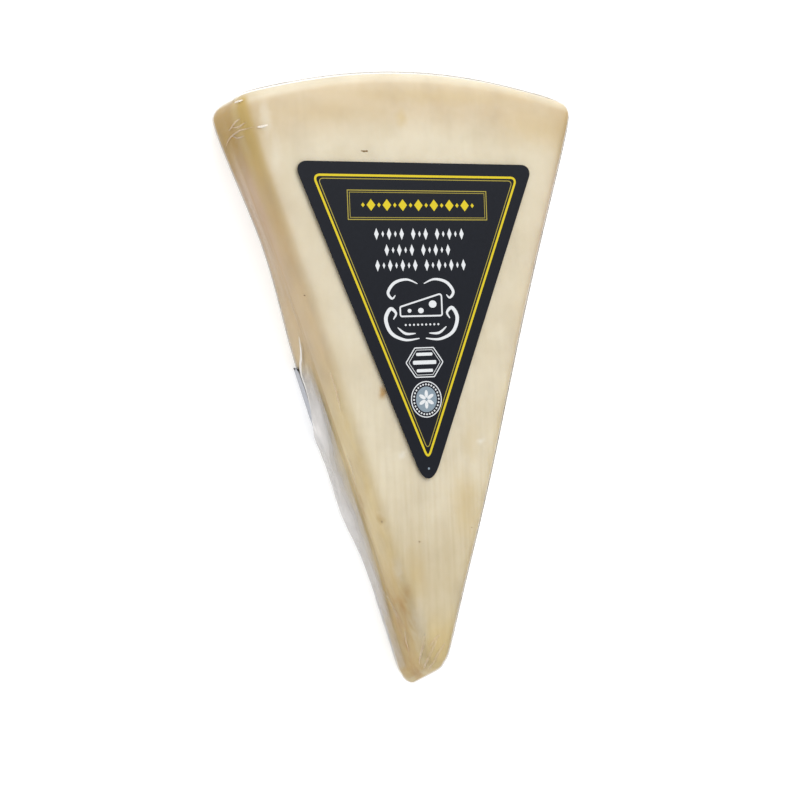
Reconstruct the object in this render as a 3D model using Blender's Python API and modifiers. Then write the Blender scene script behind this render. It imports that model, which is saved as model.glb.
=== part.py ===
"""Cheddar wedge in clear film, with a three-sided front label and a back label folded round one edge.

It lies on its back: +Z is the labelled face, -Y the thin tip, +Y the curved rind end.
"""
import math

import bmesh
import bpy

MM = 0.001

# The wedge. Lengths along Y start where the two cut sides would meet
LENGTH = 166.4 * MM
THICKNESS = 27.0 * MM
HALF_ANGLE = math.radians(16.5)
RIND_RADIUS = 155.0 * MM
RIND_BEND_START = 0.35
RIND_BEND_END = 0.95
RIND_TAPER = 1.5 * MM
RIND_TAPER_START = 0.78

# Rounded edges, larger at the back of the tip
EDGE_ROUND = 4.2 * MM
RIND_ROUND = 4.5 * MM
TIP_ROUND = 5.0 * MM
TIP_BACK_ROUND = 8.2 * MM
TIP_BACK_REACH = 22.0 * MM
WIDEST_ROUND = 0.85

# How far the tip is cut back at the labelled face and at the back
TIP_CUT_FACE = 10.5 * MM
TIP_CUT_BACK = 3.5 * MM

# The left side folds inwards below a crease, given as a share of the thickness
CREASE = 0.5
CREASE_REACH = 0.04
CREASE_DEPTH = 0.9 * MM
CREASE_START = 0.12
CREASE_END = 0.74
CREASE_FADE = 0.1
FOLD_DEPTH = 0.6 * MM

# Swellings of the film along the left back edge: station, distance outwards, reach
SWELLINGS = (
    (0.97, 0.4 * MM, 0.10),
    (0.72, -1.7 * MM, 0.10),
    (0.54, 1.5 * MM, 0.04),
    (0.45, 2.1 * MM, 0.06),
    (0.33, 1.5 * MM, 0.06),
    (0.18, -1.6 * MM, 0.08),
)
RIGHT_SWELLING = 1.0 * MM
RIGHT_CENTRE = 0.35
RIGHT_REACH = 0.22
SIDE_REACH = 0.3
GROWN_AT = 0.3

# The back label and the shallow seat that it lies in, as shares of the wedge
LABEL_GAP = 0.3 * MM
PAPER = 0.25 * MM
SEAT_DEPTH = 0.6 * MM
BACK_LABEL_START = 0.415
BACK_LABEL_END = 0.53
BACK_LABEL_RIGHT = 0.7
BACK_LABEL_TOP = 0.26
SEAT_MARGIN = 0.02
SEAT_FADE = 0.03
SEAT_TOP = 0.4

# The front label, three-sided with rounded corners
FRONT_WIDTH = 67.4 * MM
FRONT_HEIGHT = 85.4 * MM
FRONT_TOP_Y = 141.8 * MM
FRONT_X = -0.5 * MM
FRONT_TURN = -0.009
FRONT_CORNER = 2.4 * MM
FRONT_TIP = 3.2 * MM
FRONT_CORNER_STEPS = 8

# The cage that the smooth wedge is drawn from, as shares across, up and along
ROUND_ZONE = 0.1
CUTS_ACROSS = (0.05, 0.1, 0.3, 0.5, 0.7, 0.9, 0.95)
CUTS_UP = (0.05, 0.1, 0.26, 0.42, 0.5, 0.58, 0.9, 0.95)
CUTS_ALONG = (
    0.05, 0.1, 0.18, 0.26, 0.33, 0.365, 0.395, 0.415, 0.4725,
    0.53, 0.55, 0.58, 0.65, 0.72, 0.79, 0.85, 0.9, 0.95,
)
NEAR = 1e-4

FILM_COLOUR = (0.77, 0.64, 0.42)
FRONT_COLOUR = (0.028, 0.031, 0.04)
BACK_COLOUR = (0.75, 0.76, 0.78)
COLLECTION_NAME = "cheddar wedge"


def clamp(value, low=0.0, high=1.0):
    return max(low, min(high, value))


def ease(value):
    """A soft step from 0 to 1."""
    value = clamp(value)
    return value * value * (3.0 - 2.0 * value)


def bump(value, centre, reach):
    return math.exp(-(((value - centre) / reach) ** 2))


def spread(share, first_round, last_round, size):
    """Distance from the near side, with the outer parts of the cage kept for the rounded edges."""
    if share < ROUND_ZONE:
        return first_round * share / ROUND_ZONE
    if share > 1.0 - ROUND_ZONE:
        return size - last_round * (1.0 - share) / ROUND_ZONE
    middle = (share - ROUND_ZONE) / (1.0 - 2.0 * ROUND_ZONE)
    return first_round + middle * (size - first_round - last_round)


def rounded(point, size, first_rounds, last_rounds):
    """Moves a point on a box's surface onto the same box with rounded edges."""
    kept = [clamp(p, first, s - last) for p, s, first, last in zip(point, size, first_rounds, last_rounds)]
    radii = [first if p < k else last for p, k, first, last in zip(point, kept, first_rounds, last_rounds)]
    parts = [(p - k) / radius for p, k, radius in zip(point, kept, radii)]
    reach = math.sqrt(sum(part * part for part in parts))
    if reach == 0.0:
        return kept
    return [k + radius * part / reach for k, radius, part in zip(kept, radii, parts)]


def seat_share(across, along):
    """1 over the seat of the back label, 0 away from it."""
    first = ease((along - BACK_LABEL_START + SEAT_MARGIN) / SEAT_FADE + 1.0)
    last = ease((BACK_LABEL_END + SEAT_MARGIN - along) / SEAT_FADE + 1.0)
    right_edge = 1.0 - ROUND_ZONE
    side = ease((right_edge - across) / (right_edge - BACK_LABEL_RIGHT))
    return first * last * side


def plain_form(across, along, up):
    """A cage point on the rounded wedge, before the film's fold, swellings and seat."""
    tip = TIP_CUT_BACK + (TIP_CUT_FACE - TIP_CUT_BACK) * up
    length = LENGTH - tip
    run = spread(along, TIP_ROUND, RIND_ROUND, length)
    half = (tip + run) * math.tan(HALF_ANGLE)
    half -= RIND_TAPER * clamp((along - RIND_TAPER_START) / (1.0 - RIND_TAPER_START)) ** 2
    side_round = min(EDGE_ROUND, WIDEST_ROUND * half)
    back_round = TIP_BACK_ROUND + (EDGE_ROUND - TIP_BACK_ROUND) * ease(run / TIP_BACK_REACH)
    width = 2.0 * half
    point = (
        spread(across, side_round, side_round, width),
        run,
        spread(up, back_round, EDGE_ROUND, THICKNESS),
    )
    size = (width, length, THICKNESS)
    x, run, z = rounded(point, size, (side_round, TIP_ROUND, back_round), (side_round, RIND_ROUND, EDGE_ROUND))
    x -= half
    rind_drop = RIND_RADIUS - math.sqrt(RIND_RADIUS ** 2 - x * x)
    bend = ease((along - RIND_BEND_START) / (RIND_BEND_END - RIND_BEND_START))
    return x, tip + run - rind_drop * bend, z


def place(across, along, up, seat_depth):
    """Where a point of the unit cage lies on the wrapped wedge."""
    x, y, z = plain_form(across, along, up)
    left = clamp((SIDE_REACH - across) / (SIDE_REACH - ROUND_ZONE))
    right = clamp((across - 1.0 + SIDE_REACH) / (SIDE_REACH - ROUND_ZONE))
    below_crease = clamp((CREASE - up) / CREASE)
    grown = ease((along - ROUND_ZONE) / (GROWN_AT - ROUND_ZONE))

    x += FOLD_DEPTH * below_crease * left * grown
    swelling = sum(out * bump(along, centre, reach) for centre, out, reach in SWELLINGS)
    x -= swelling * ease(2.0 * below_crease) * left * grown
    x += RIGHT_SWELLING * bump(along, RIGHT_CENTRE, RIGHT_REACH) * right * grown
    if across < NEAR:
        fade = ease((along - CREASE_START) / CREASE_FADE) * ease((CREASE_END - along) / CREASE_FADE)
        x += CREASE_DEPTH * fade * bump(up, CREASE, CREASE_REACH)

    seat = seat_depth * seat_share(across, along)
    z += seat * below_crease
    x += seat * left * ease(below_crease / SEAT_TOP)
    return x, y, z


def cut_cage():
    """A unit cube cut into the cage's cells, with its faces outwards."""
    cage = bmesh.new()
    bmesh.ops.create_cube(cage, size=1.0)
    bmesh.ops.translate(cage, verts=cage.verts, vec=(0.5, 0.5, 0.5))
    for axis, cuts in enumerate((CUTS_ACROSS, CUTS_ALONG, CUTS_UP)):
        for cut in cuts:
            level = [0.0, 0.0, 0.0]
            normal = [0.0, 0.0, 0.0]
            level[axis] = cut
            normal[axis] = 1.0
            geometry = cage.verts[:] + cage.edges[:] + cage.faces[:]
            bmesh.ops.bisect_plane(cage, geom=geometry, plane_co=level, plane_no=normal)
    bmesh.ops.recalc_face_normals(cage, faces=cage.faces)
    return cage


def shape_cage(cage, seat_depth):
    for vert in cage.verts:
        across, along, up = vert.co
        vert.co = place(across, along, up, seat_depth)


def under_back_label(face):
    """Whether a face of the unit cage lies under the back label."""
    across, along, up = face.calc_center_median()
    if not BACK_LABEL_START < along < BACK_LABEL_END:
        return False
    on_back = up < NEAR and across < BACK_LABEL_RIGHT
    on_side = across < NEAR and up < BACK_LABEL_TOP
    return on_back or on_side


def add_object(name, shape, collection, colour, roughness):
    mesh = bpy.data.meshes.new(name)
    shape.to_mesh(mesh)
    shape.free()
    mesh.shade_smooth()
    material = bpy.data.materials.new(name)
    material.use_nodes = True
    shader = material.node_tree.nodes["Principled BSDF"]
    shader.inputs["Base Color"].default_value = (*colour, 1.0)
    shader.inputs["Roughness"].default_value = roughness
    mesh.materials.append(material)
    thing = bpy.data.objects.new(name, mesh)
    collection.objects.link(thing)
    return thing


def add_smoothing(thing):
    smoothing = thing.modifiers.new("smooth form", "SUBSURF")
    smoothing.levels = 1
    smoothing.render_levels = 1


def build_wedge(collection):
    cage = cut_cage()
    shape_cage(cage, SEAT_DEPTH)
    wedge = add_object("wrapped_wedge", cage, collection, FILM_COLOUR, roughness=0.3)
    add_smoothing(wedge)
    return wedge


def build_back_label(collection):
    cage = cut_cage()
    spare = [face for face in cage.faces if not under_back_label(face)]
    bmesh.ops.delete(cage, geom=spare, context="FACES")
    shape_cage(cage, SEAT_DEPTH - LABEL_GAP)
    label = add_object("back_label", cage, collection, BACK_COLOUR, roughness=0.45)
    add_smoothing(label)
    paper = label.modifiers.new("paper", "SOLIDIFY")
    paper.thickness = PAPER
    paper.offset = 1.0
    return label


def build_front_label(collection):
    outline = bmesh.new()
    bmesh.ops.create_circle(outline, cap_ends=True, radius=FRONT_WIDTH, segments=3)
    corners = ((-0.5 * FRONT_WIDTH, 0.0), (0.0, -FRONT_HEIGHT), (0.5 * FRONT_WIDTH, 0.0))
    for vert, (x, y) in zip(outline.verts, corners):
        vert.co = (x, y, 0.0)
    half_tip = math.atan2(0.5 * FRONT_WIDTH, FRONT_HEIGHT)
    half_corner = 0.25 * math.pi - 0.5 * half_tip
    for vert in outline.verts[:]:
        at_tip = vert.co.y < -0.5 * FRONT_HEIGHT
        radius, half = (FRONT_TIP, half_tip) if at_tip else (FRONT_CORNER, half_corner)
        bmesh.ops.bevel(
            outline,
            geom=[vert],
            affect="VERTICES",
            offset_type="OFFSET",
            offset=radius / math.tan(half),
            segments=FRONT_CORNER_STEPS,
            profile=0.5,
            material=-1,
        )
    raised = bmesh.ops.extrude_face_region(outline, geom=outline.faces[:])
    top = [item for item in raised["geom"] if isinstance(item, bmesh.types.BMVert)]
    bmesh.ops.translate(outline, verts=top, vec=(0.0, 0.0, PAPER))
    bmesh.ops.recalc_face_normals(outline, faces=outline.faces)
    label = add_object("front_label", outline, collection, FRONT_COLOUR, roughness=0.4)
    label.location = (FRONT_X, FRONT_TOP_Y, THICKNESS + LABEL_GAP)
    label.rotation_euler = (0.0, 0.0, FRONT_TURN)
    return label


def centre_on_origin(things):
    """Moves the object so that the middle of its base is the origin."""
    bpy.context.view_layer.update()
    graph = bpy.context.evaluated_depsgraph_get()
    spots = []
    for thing in things:
        shown = thing.evaluated_get(graph)
        spots += [shown.matrix_world @ vert.co for vert in shown.to_mesh().vertices]
        shown.to_mesh_clear()
    low = [min(spot[axis] for spot in spots) for axis in range(3)]
    high = [max(spot[axis] for spot in spots) for axis in range(3)]
    for thing in things:
        thing.location.x -= 0.5 * (low[0] + high[0])
        thing.location.y -= 0.5 * (low[1] + high[1])
        thing.location.z -= low[2]


def main():
    for thing in list(bpy.data.objects):
        bpy.data.objects.remove(thing, do_unlink=True)
    collection = bpy.data.collections.new(COLLECTION_NAME)
    bpy.context.scene.collection.children.link(collection)
    things = (build_wedge(collection), build_front_label(collection), build_back_label(collection))
    centre_on_origin(things)


main()
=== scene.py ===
"""Cheddar wedge in clear shrink film, dressed for a studio picture."""
import math

import bmesh
import bpy
from bpy.props import FloatProperty, FloatVectorProperty, PointerProperty
from mathutils import Matrix, Vector
from mathutils.bvhtree import BVHTree


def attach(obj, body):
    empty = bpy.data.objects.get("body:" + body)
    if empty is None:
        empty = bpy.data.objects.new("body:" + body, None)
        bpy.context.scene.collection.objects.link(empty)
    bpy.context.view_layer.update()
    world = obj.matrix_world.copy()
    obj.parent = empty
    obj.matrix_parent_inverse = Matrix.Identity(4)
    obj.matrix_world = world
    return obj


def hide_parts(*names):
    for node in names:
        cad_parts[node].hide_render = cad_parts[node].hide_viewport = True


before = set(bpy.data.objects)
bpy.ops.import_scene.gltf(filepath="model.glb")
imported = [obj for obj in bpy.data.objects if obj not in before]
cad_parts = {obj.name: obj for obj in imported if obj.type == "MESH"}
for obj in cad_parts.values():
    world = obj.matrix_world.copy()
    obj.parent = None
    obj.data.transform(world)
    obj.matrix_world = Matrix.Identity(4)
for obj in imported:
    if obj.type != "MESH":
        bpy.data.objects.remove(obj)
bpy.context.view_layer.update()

bl_info = {
    "name": "Cheddar wedge in film",
    "version": (1, 0, 0),
    "blender": (4, 5, 0),
    "location": "View3D > Sidebar > Cheddar",
    "description": "Builds a film-wrapped cheddar wedge, its labels and a pale studio",
    "category": "Object",
}

MM = 0.001

# The wedge's form. Runs along Y start where the cut sides would meet
LENGTH = 166.4
THICKNESS = 27.0
HALF_ANGLE = math.radians(16.5)
RIND_RADIUS = 155.0
EDGE_ROUND = 4.2
RIND_ROUND = 4.5
TIP_ROUND = 5.0
TIP_BACK_ROUND = 8.2
TIP_BACK_REACH = 22.0
TIP_CUT_FACE = 10.5
TIP_CUT_BACK = 3.5
WIDEST_ROUND = 0.85
ROUND_ZONE = 0.1
CREASE = 0.5
SWELLINGS = (
    (0.97, 0.4, 0.10),
    (0.72, -1.7, 0.10),
    (0.54, 1.5, 0.04),
    (0.45, 2.1, 0.06),
    (0.33, 1.5, 0.06),
    (0.18, -1.6, 0.08),
)
SEAT_DEPTH = 0.6
SEAT_START = 0.395
SEAT_END = 0.55
SEAT_FADE = 0.03
CUTS_ACROSS = (0.05, 0.1, 0.3, 0.5, 0.7, 0.9, 0.95)
CUTS_UP = (0.05, 0.1, 0.26, 0.42, 0.5, 0.58, 0.9, 0.95)
CUTS_ALONG = (
    0.05, 0.1, 0.18, 0.26, 0.33, 0.365, 0.395, 0.415, 0.4725,
    0.53, 0.55, 0.58, 0.65, 0.72, 0.79, 0.85, 0.9, 0.95,
)
CENTRE = Vector((-0.001, -85.106, 0.0))

# The front label, from the middle of its top edge
LABEL_WIDTH = 67.4
LABEL_HEIGHT = 85.4
LABEL_SPOT = Vector((-0.501, 56.694, 27.55))
LABEL_TURN = -0.009
FRAME_ROW = -10.85
BADGE_ROW = -51.1
SCROLLS = (
    (((0.6, -44.9), (4.6, -45.2), (8.4, -43.4), (9.8, -39.8), (8.4, -37.2), (6.9, -38.4), (7.7, -39.9)), 0.5),
    (((0.6, -30.9), (3.6, -29.8), (7.0, -30.6), (8.9, -33.0), (7.9, -34.6), (6.9, -33.8)), 0.4),
    (((1.6, -43.6), (4.4, -43.6), (6.6, -42.0)), 0.32),
)
INK = 0.05

# Least gaps of the doubled film, to the film under it and to the floor
FILM_GAP = 0.12
FLOOR_GAP = 0.08

CAMERA_SPOT = Vector((-171.560, 6.116, 394.136))
CAMERA_LOOK = Vector((0.40661523, -0.02443218, -0.91327275))
CAMERA_UP = Vector((0.05200518, 0.99864046, -0.00356177))
CAMERA_LENS = 70.875


def linear(code):
    """An sRGB hex colour as linear red, green and blue."""
    parts = [int(code[i:i + 2], 16) / 255.0 for i in (1, 3, 5)]
    return tuple(p / 12.92 if p <= 0.04045 else ((p + 0.055) / 1.055) ** 2.4 for p in parts)


def colour_choice(name, description, code):
    """A colour that the user can change."""
    return FloatVectorProperty(
        name=name, description=description, subtype="COLOR", size=3, min=0.0, max=1.0, default=linear(code)
    )


class CheeseSettings(bpy.types.PropertyGroup):
    face: colour_choice("Face", "Pale cut face in its middle", "#BDB49E")
    rim: colour_choice("Rim", "Warmer cheese beside the rind end", "#B4A487")
    # The rind end's pale colour is partly a painted highlight where its rounding catches the light.
    rind: colour_choice("Rind end", "Pale rounded edge of the rind end", "#BDB49F")
    near_tip: colour_choice("Near the tip", "Cut face where it starts to dry", "#B0A488")
    tip: colour_choice("Tip", "Darker, drier cheese at the thin tip", "#B4A378")
    # The cut side's colours are painted shade: darker and more saturated than the face, for the weaker light and
    # darker reflections the side gets, matched along its length.
    side: colour_choice("Side", "Cut side, in the middle of its length", "#BFAA87")
    side_high: colour_choice("Side, upper", "Cut side, below the rind end", "#B3987B")
    side_low: colour_choice("Side, lower", "Cut side, between the middle and the tip", "#C8B78D")
    side_rim: colour_choice("Side by the rind", "Cut side beside the rind end", "#98760F")
    side_tip: colour_choice("Side by the tip", "Cut side beside the tip", "#AF965E")
    # Pale is mostly painted light: painted highlights and glints, and lift for the shaded rounding beside the tip.
    pale: colour_choice("Pale", "Paler patches under slack film", "#C8C3B4")
    warm: colour_choice("Warm", "Yellow patches near the edges", "#B19859")
    # Dried and browned also colour the side's crease line, where the brown is partly painted shade in the groove.
    dried: colour_choice("Dried", "Thin brown skin in a crease", "#A98138")
    browned: colour_choice("Browned", "Dried spots and creases", "#9A701C")
    speck: colour_choice("Specks", "Small specks and the small hole", "#6E532B")
    inset: FloatProperty(
        name="Inset", description="Depth of the cheese under the film", unit="LENGTH",
        min=0.0002, max=0.001, default=0.4 * MM,
    )


class FilmSettings(bpy.types.PropertyGroup):
    # The film's tint shows at grazing angles: painted shade for the darker look of film seen edge on.
    tint: colour_choice("Film", "Clear shrink film seen edge on", "#A99F8F")
    # The seam's dark grey is painted shade: the grey outline that film shows edge on.
    seam: colour_choice("Seam", "Low seam round the film's edges", "#7A7468")
    # Glint is a painted highlight: a pale colour on thick film folds that stands in for their glints.
    glint: colour_choice("Glint", "Thick folds that catch the light", "#F2EFEA")
    fold: colour_choice("Fold", "Pinched lines in the film", "#D8C4AC")
    # The doubled film's pale grey is partly its own haze, partly a painted reflection of the bright surroundings.
    overlap: colour_choice("Overlap", "Doubled film along the left back edge", "#CDCAC8")
    haze: FloatProperty(
        name="Haze", description="Share of light that the flat film scatters", subtype="FACTOR",
        min=0.0, max=0.3, default=0.02,
    )


class LabelSettings(bpy.types.PropertyGroup):
    front: colour_choice("Front", "Black ground of the front label", "#0D1017")
    yellow: colour_choice("Yellow", "Yellow lines of the front label", "#B2A01E")
    thin_yellow: colour_choice("Thin yellow", "Thin lines of the front label", "#8D8138")
    white: colour_choice("White", "White shapes of the front label", "#B8BABC")
    grey: colour_choice("Grey", "Grey ground of the seal", "#6F7C86")
    back: colour_choice("Back", "White ground of the back label", "#9A9CA2")
    ink: colour_choice("Ink", "Dark print of the back label", "#25272C")


class StudioSettings(bpy.types.PropertyGroup):
    floor: colour_choice("Floor", "Pale floor", "#DADADA")
    key: FloatProperty(
        name="Key", description="Power of the big soft light", unit="POWER", min=0.0, default=11.0,
    )
    rim: FloatProperty(
        name="Rind", description="Power of the rind end's light", unit="POWER", min=0.0, default=1.15,
    )
    fill: FloatProperty(
        name="Fill", description="Power of the low light from the left", unit="POWER", min=0.0, default=1.3,
    )
    glow: FloatProperty(name="Glow", description="Light that the floor gives", min=0.0, default=0.45)
    sky: FloatProperty(name="Sky", description="Strength of the light from all round", min=0.0, default=1.08)


def settings(group):
    return getattr(bpy.context.scene, group)


def clamp(value, low=0.0, high=1.0):
    return max(low, min(high, value))


def ease(value):
    """A soft step from 0 to 1."""
    value = clamp(value)
    return value * value * (3.0 - 2.0 * value)


def bump(value, centre, reach):
    """A soft hill, 1 high at its centre."""
    return math.exp(-(((value - centre) / reach) ** 2))


# The wedge's form, as in the solid

def spread(share, first_round, last_round, size):
    """Length at a share of an edge. The first and last tenth cover its two rounds."""
    if share < ROUND_ZONE:
        return first_round * share / ROUND_ZONE
    if share > 1.0 - ROUND_ZONE:
        return size - last_round * (1.0 - share) / ROUND_ZONE
    middle = (share - ROUND_ZONE) / (1.0 - 2.0 * ROUND_ZONE)
    return first_round + middle * (size - first_round - last_round)


def rounded(point, size, first_rounds, last_rounds):
    """A point of a box, pulled onto the rounds of its edges and corners."""
    kept = [clamp(p, first, s - last) for p, s, first, last in zip(point, size, first_rounds, last_rounds)]
    radii = [first if p < k else last for p, k, first, last in zip(point, kept, first_rounds, last_rounds)]
    parts = [(p - k) / radius for p, k, radius in zip(point, kept, radii)]
    reach = math.sqrt(sum(part * part for part in parts))
    if reach == 0.0:
        return kept
    return [k + radius * part / reach for k, radius, part in zip(kept, radii, parts)]


def seat_share(across, along):
    """How much a point lies in the shallow seat of the back label."""
    first = ease((along - SEAT_START) / SEAT_FADE + 1.0)
    last = ease((SEAT_END - along) / SEAT_FADE + 1.0)
    return first * last * ease((0.9 - across) / 0.2)


def form(across, along, up, seat_depth=SEAT_DEPTH):
    """A point of the unit cage on the wrapped wedge, in millimetres."""
    tip = TIP_CUT_BACK + (TIP_CUT_FACE - TIP_CUT_BACK) * up
    length = LENGTH - tip
    run = spread(along, TIP_ROUND, RIND_ROUND, length)
    half = (tip + run) * math.tan(HALF_ANGLE) - 1.5 * clamp((along - 0.78) / 0.22) ** 2
    side_round = min(EDGE_ROUND, WIDEST_ROUND * half)
    back_round = TIP_BACK_ROUND + (EDGE_ROUND - TIP_BACK_ROUND) * ease(run / TIP_BACK_REACH)
    point = (
        spread(across, side_round, side_round, 2.0 * half),
        run,
        spread(up, back_round, EDGE_ROUND, THICKNESS),
    )
    size = (2.0 * half, length, THICKNESS)
    x, run, z = rounded(point, size, (side_round, TIP_ROUND, back_round), (side_round, RIND_ROUND, EDGE_ROUND))
    x -= half
    drop = RIND_RADIUS - math.sqrt(RIND_RADIUS ** 2 - x * x)
    y = tip + run - drop * ease((along - 0.35) / 0.6)

    left = clamp((0.3 - across) / 0.2)
    right = clamp((across - 0.7) / 0.2)
    below = clamp((CREASE - up) / CREASE)
    grown = ease((along - 0.1) / 0.2)
    x += 0.6 * below * left * grown
    x -= sum(out * bump(along, centre, reach) for centre, out, reach in SWELLINGS) * ease(2.0 * below) * left * grown
    x += bump(along, 0.35, 0.22) * right * grown
    if across < 1e-4:
        fade = ease((along - 0.12) / 0.1) * ease((0.74 - along) / 0.1)
        x += 0.9 * fade * bump(up, CREASE, 0.04)
    seat = seat_depth * seat_share(across, along)
    z += seat * below
    x += seat * left * ease(below / 0.4)
    return Vector((x, y, z)) + CENTRE


def wedge_mesh(name, level):
    """The wedge's cage, smoothed. Each point keeps its shares across, along and up as an attribute."""
    shape = bmesh.new()
    bmesh.ops.create_cube(shape, size=1.0)
    bmesh.ops.translate(shape, verts=shape.verts, vec=(0.5, 0.5, 0.5))
    for axis, cuts in enumerate((CUTS_ACROSS, CUTS_ALONG, CUTS_UP)):
        for cut in cuts:
            level_point = [0.0, 0.0, 0.0]
            normal = [0.0, 0.0, 0.0]
            level_point[axis] = cut
            normal[axis] = 1.0
            geometry = shape.verts[:] + shape.edges[:] + shape.faces[:]
            bmesh.ops.bisect_plane(shape, geom=geometry, plane_co=level_point, plane_no=normal)
    bmesh.ops.recalc_face_normals(shape, faces=shape.faces)
    shares = shape.verts.layers.float_vector.new("shares")
    for vert in shape.verts:
        vert[shares] = vert.co
        vert.co = form(*vert.co)
    mesh = bpy.data.meshes.new(name + " cage")
    shape.to_mesh(mesh)
    shape.free()
    cage = bpy.data.objects.new(name + " cage", mesh)
    bpy.context.scene.collection.objects.link(cage)
    smoothing = cage.modifiers.new("smooth form", "SUBSURF")
    smoothing.levels = smoothing.render_levels = level
    graph = bpy.context.evaluated_depsgraph_get()
    smooth = bpy.data.meshes.new_from_object(cage.evaluated_get(graph), depsgraph=graph)
    bpy.data.objects.remove(cage)
    bpy.data.meshes.remove(mesh)
    shape = bmesh.new()
    shape.from_mesh(smooth)
    bpy.data.meshes.remove(smooth)
    shape.normal_update()
    return shape, shape.verts.layers.float_vector["shares"]


def surface_of(name):
    """The faces of a piece, in millimetres, for laying other pieces on."""
    piece = bpy.data.objects[name]
    mesh = piece.data
    spots = [piece.matrix_world @ vert.co / MM for vert in mesh.vertices]
    return BVHTree.FromPolygons(spots, [tuple(face.vertices) for face in mesh.polygons])


def on_line(spots, share):
    """A point on a smooth line through some spots."""
    place = share * (len(spots) - 1)
    step = min(int(place), len(spots) - 2)
    t = place - step
    before, first = spots[max(step - 1, 0)], spots[step]
    last, after = spots[step + 1], spots[min(step + 2, len(spots) - 1)]
    return 0.5 * (
        2.0 * first + (last - before) * t + (2.0 * before - 5.0 * first + 4.0 * last - after) * t ** 2
        + (3.0 * first - before - 3.0 * last + after) * t ** 3
    )


# Objects and materials

def add_piece(name, shape, material, smooth=True):
    """Puts a finished shape in the scene, in metres, and lets it ride on the part."""
    bmesh.ops.scale(shape, verts=shape.verts, vec=(MM, MM, MM))
    mesh = bpy.data.meshes.new(name)
    shape.to_mesh(mesh)
    shape.free()
    if smooth:
        mesh.shade_smooth()
    mesh.materials.append(material)
    piece = bpy.data.objects.new(name, mesh)
    bpy.context.scene.collection.objects.link(piece)
    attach(piece, "root")
    return piece


def add_node(tree, kind, values=None, links=None):
    """Adds a node. Values are sockets or settings, and links join sockets to other nodes' outputs."""
    node = tree.nodes.new(kind)
    for key, value in (values or {}).items():
        if isinstance(key, str) and key not in node.inputs:
            setattr(node, key, value)
    for key, value in (values or {}).items():
        if isinstance(key, int) or key in node.inputs:
            node.inputs[key].default_value = value
    for key, output in (links or {}).items():
        tree.links.new(output, node.inputs[key])
    return node


def new_material(name):
    material = bpy.data.materials.new(name)
    material.use_nodes = True
    material.node_tree.nodes.clear()
    return material, material.node_tree


def finish_material(tree, shader):
    add_node(tree, "ShaderNodeOutputMaterial", links={"Surface": shader})


def blend_colours(tree, share, first, second, kind="MIX"):
    """Mixes two colours. Each is a colour or another node's output."""
    mix = add_node(tree, "ShaderNodeMix", {"data_type": "RGBA", "blend_type": kind, "clamp_factor": True})
    for socket, source in ((0, share), (6, first), (7, second)):
        if isinstance(source, bpy.types.NodeSocket):
            tree.links.new(source, mix.inputs[socket])
        elif socket == 0:
            mix.inputs[0].default_value = source
        else:
            mix.inputs[socket].default_value = (*source, 1.0)
    return mix.outputs[2]


def colour_run(tree, factor, stops):
    """A ramp of colours, each at its place from 0 to 1."""
    ramp = add_node(tree, "ShaderNodeValToRGB", links={"Fac": factor}).color_ramp
    ramp.interpolation = "EASE"
    while len(ramp.elements) < len(stops):
        ramp.elements.new(0.5)
    for element, (place, colour) in zip(ramp.elements, stops):
        element.position = place
        element.color = (*colour, 1.0)
    return tree.nodes[-1].outputs["Color"]


def noise_of(tree, coords, size_mm, detail=3.0, stretch=(1.0, 1.0, 1.0)):
    """Noise with lumps of a real size in millimetres."""
    place = add_node(tree, "ShaderNodeMapping", {"Scale": stretch}, {"Vector": coords})
    scale = 1.0 / (size_mm * MM)
    noise = add_node(
        tree, "ShaderNodeTexNoise", {"Scale": scale, "Detail": detail}, {"Vector": place.outputs["Vector"]}
    )
    return noise.outputs["Fac"]


def mark_share(tree, coords, marks):
    """How far a point lies in the strongest of some marks with ragged, soft edges."""
    ragged = add_node(tree, "ShaderNodeTexNoise", {"Scale": 1.0 / (1.8 * MM), "Detail": 2.0}, {"Vector": coords})
    pushed = add_node(
        tree, "ShaderNodeVectorMath", {"operation": "MULTIPLY_ADD", 1: (2.2 * MM,) * 3, 2: (-1.1 * MM,) * 3},
        {0: ragged.outputs["Color"]},
    )
    place = add_node(
        tree, "ShaderNodeVectorMath", {"operation": "ADD"}, {0: coords, 1: pushed.outputs["Vector"]}
    ).outputs["Vector"]
    strongest = None
    for centre, size, strength in marks:
        scale = [1.0 / (part * MM) for part in size]
        start = [-part / reach for part, reach in zip(centre, size)]
        away = add_node(tree, "ShaderNodeMapping", {"Scale": scale, "Location": start}, {"Vector": place})
        reach = add_node(tree, "ShaderNodeVectorMath", {"operation": "LENGTH"}, {0: away.outputs["Vector"]})
        share = add_node(
            tree, "ShaderNodeMapRange",
            {"interpolation_type": "SMOOTHSTEP", "From Max": 1.6, "To Min": strength, "To Max": 0.0},
            {"Value": reach.outputs["Value"]},
        ).outputs["Result"]
        if strongest is not None:
            share = add_node(
                tree, "ShaderNodeMath", {"operation": "MAXIMUM"}, {0: strongest, 1: share}
            ).outputs["Value"]
        strongest = share
    return strongest


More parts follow.
